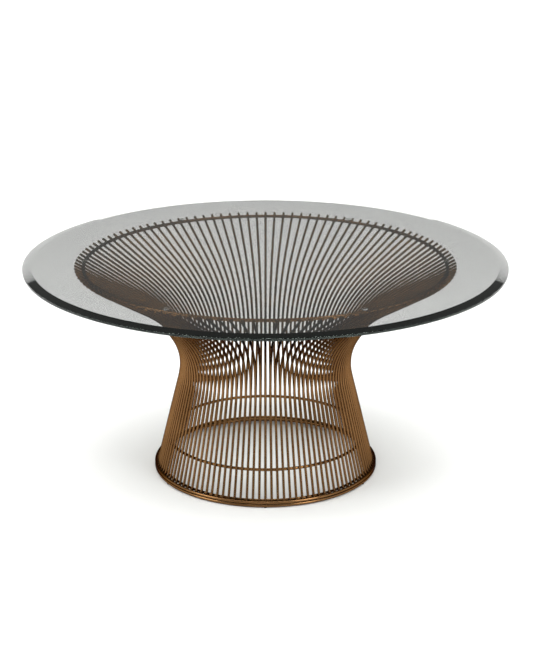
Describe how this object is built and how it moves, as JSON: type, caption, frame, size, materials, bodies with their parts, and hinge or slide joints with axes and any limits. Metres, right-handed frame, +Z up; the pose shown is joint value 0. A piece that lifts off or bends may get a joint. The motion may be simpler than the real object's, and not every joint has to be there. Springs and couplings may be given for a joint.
{
  "type": "round glass coffee table",
  "caption": "Round bevelled glass coffee table top resting loosely on a waisted, flaring cage of upright bronze steel rods welded to rings.",
  "frame": {"origin": "on the floor under the middle of the table", "axes": "+Z up along the table's axis; -Y is the front, where one rod stands exactly on the axis plane; +X to the right"},
  "size_m": [0.9144, 0.9144, 0.418],
  "materials": {
    "bronze_steel": "satin metallic bronze over steel",
    "clear_glass": "polished clear glass with a faint green edge",
    "clear_pad": "clear soft plastic",
    "brown_glide": "matte brown nylon"
  },
  "bodies": {
    "base": {"rod_panel_01": "bronze_steel", "rod_panel_02": "bronze_steel", "rod_panel_03": "bronze_steel", "rod_panel_04": "bronze_steel", "rod_panel_05": "bronze_steel", "rod_panel_06": "bronze_steel", "rod_panel_07": "bronze_steel", "rod_panel_08": "bronze_steel", "rod_panel_09": "bronze_steel", "rod_panel_10": "bronze_steel", "rod_panel_11": "bronze_steel", "rod_panel_12": "bronze_steel", "rod_panel_13": "bronze_steel", "rod_panel_14": "bronze_steel", "rod_panel_15": "bronze_steel", "rod_panel_16": "bronze_steel", "rod_panel_17": "bronze_steel", "rod_panel_18": "bronze_steel", "rod_panel_19": "bronze_steel", "rod_panel_20": "bronze_steel", "rod_panel_21": "bronze_steel", "rod_panel_22": "bronze_steel", "rod_panel_23": "bronze_steel", "rod_panel_24": "bronze_steel", "rod_panel_25": "bronze_steel", "rod_panel_26": "bronze_steel", "rod_panel_27": "bronze_steel", "rod_panel_28": "bronze_steel", "rod_panel_29": "bronze_steel", "top_hoop": "bronze_steel", "upper_foot_ring": "bronze_steel", "lower_foot_ring": "bronze_steel", "inner_foot_ring": "bronze_steel", "glass_pad_1": "clear_pad", "glass_pad_2": "clear_pad", "glass_pad_3": "clear_pad", "glass_pad_4": "clear_pad", "glass_pad_5": "clear_pad", "glass_pad_6": "clear_pad", "floor_glide_1": "brown_glide", "floor_glide_2": "brown_glide", "floor_glide_3": "brown_glide", "floor_glide_4": "brown_glide", "floor_glide_5": "brown_glide", "floor_glide_6": "brown_glide"},
    "glass": {"glass_top": "clear_glass"}
  },
  "joints": [
    {"name": "glass_lift", "type": "slide", "parent": "base", "child": "glass", "axis": [0, 0, 1], "range_m": [0, 0.15]}
  ]
}
